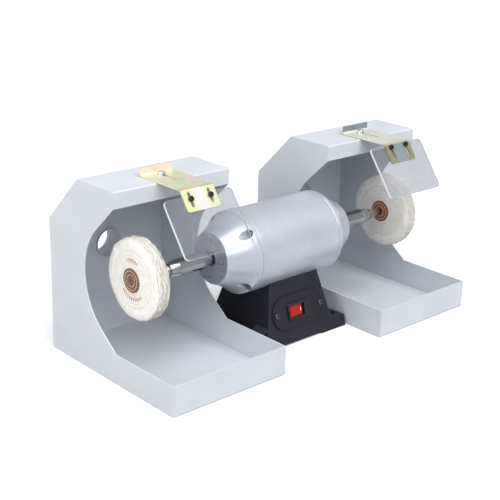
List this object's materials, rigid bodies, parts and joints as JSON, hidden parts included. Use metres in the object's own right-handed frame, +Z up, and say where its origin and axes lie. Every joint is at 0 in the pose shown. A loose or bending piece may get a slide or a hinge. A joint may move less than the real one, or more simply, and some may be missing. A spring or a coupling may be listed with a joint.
{
  "type": "bench polishing motor",
  "caption": "Double-ended bench polishing motor with tapered spindles and cotton buffs, between two sheet-metal dust hoods with clear adjustable eye shields.",
  "frame": {"origin": "on the bench under the centre of the whole set", "axes": "+X along the motor shaft to the operator's right, -Y towards the operator, +Z up"},
  "size_m": [0.54, 0.284, 0.2578],
  "materials": {
    "motor_casting": "satin grey, fine machined rings",
    "shaft_steel": "ground",
    "spindle_steel": "polished, light turning marks",
    "lamination": "dull stacked sheet",
    "copper": "varnished wire",
    "black_screw": "blackened steel",
    "bright_screw": "zinc plated",
    "base_black": "satin black, slightly rough",
    "switch_black": "moulded",
    "rocker_red": "glossy red",
    "capacitor_can": "smooth",
    "hood_paint": "light grey powder coat, fine orange peel",
    "yellow_zinc": "iridescent yellow zinc",
    "acrylic": "clear, polished edges",
    "cotton": "sewn cotton plies, frayed rim",
    "leather": "brown, white stitching"
  },
  "bodies": {
    "frame": {"motor_body": "motor_casting", "left_end_bell": "motor_casting", "left_bell_screw_1": "black_screw", "left_bell_screw_2": "black_screw", "left_bell_screw_3": "black_screw", "left_bell_screw_4": "black_screw", "left_winding": "copper", "left_bearing_outer": "shaft_steel", "left_panel_screw": "black_screw", "left_hood_wrapper": "hood_paint", "left_hood_outer_cheek": "hood_paint", "left_hood_inner_cheek": "hood_paint", "left_hood_spigot": "hood_paint", "left_bracket_screw": "bright_screw", "right_end_bell": "motor_casting", "right_bell_screw_1": "black_screw", "right_bell_screw_2": "black_screw", "right_bell_screw_3": "black_screw", "right_bell_screw_4": "black_screw", "right_winding": "copper", "right_bearing_outer": "shaft_steel", "right_panel_screw": "black_screw", "right_hood_wrapper": "hood_paint", "right_hood_outer_cheek": "hood_paint", "right_hood_inner_cheek": "hood_paint", "right_hood_spigot": "hood_paint", "right_bracket_screw": "bright_screw", "stator_core": "lamination", "wave_washer": "shaft_steel", "base_housing": "base_black", "base_bottom_plate": "base_black", "switch_panel": "base_black", "switch_body": "switch_black", "run_capacitor": "capacitor_can", "cord_gland": "switch_black"},
    "rotor": {"motor_shaft": "shaft_steel", "rotor_core": "lamination", "left_bearing_inner": "shaft_steel", "left_spindle": "spindle_steel", "left_set_screw": "black_screw", "left_buff": "cotton", "left_buff_inner_disc": "leather", "left_buff_outer_disc": "leather", "right_bearing_inner": "shaft_steel", "right_spindle": "spindle_steel", "right_set_screw": "black_screw", "right_buff": "cotton", "right_buff_inner_disc": "leather", "right_buff_outer_disc": "leather"},
    "rocker": {"switch_rocker": "rocker_red"},
    "left_guard": {"left_bracket": "yellow_zinc"},
    "left_eye_shield": {"left_shield": "acrylic", "left_shield_screw_1": "black_screw", "left_shield_screw_2": "black_screw"},
    "right_guard": {"right_bracket": "yellow_zinc"},
    "right_eye_shield": {"right_shield": "acrylic", "right_shield_screw_1": "black_screw", "right_shield_screw_2": "black_screw"}
  },
  "joints": [
    {"name": "rotor_spin", "type": "hinge", "parent": "frame", "child": "rotor", "pos_m": [0, -0.02, 0.127], "axis": [1, 0, 0], "continuous": true},
    {"name": "rocker_tilt", "type": "hinge", "parent": "frame", "child": "rocker", "pos_m": [-0.0048, -0.07065, 0.043], "axis": [0, 0.2425, 0.9701], "range_deg": [-12, 0]},
    {"name": "left_guard_slide", "type": "slide", "parent": "frame", "child": "left_guard", "axis": [0, 1, 0], "range_m": [0, 0.03]},
    {"name": "left_shield_slide", "type": "slide", "parent": "left_guard", "child": "left_eye_shield", "axis": [0, -0.5878, -0.809], "range_m": [-0.0075, 0.008]},
    {"name": "right_guard_slide", "type": "slide", "parent": "frame", "child": "right_guard", "axis": [0, 1, 0], "range_m": [0, 0.03]},
    {"name": "right_shield_slide", "type": "slide", "parent": "right_guard", "child": "right_eye_shield", "axis": [0, -0.5878, -0.809], "range_m": [0, 0.0155]}
  ]
}
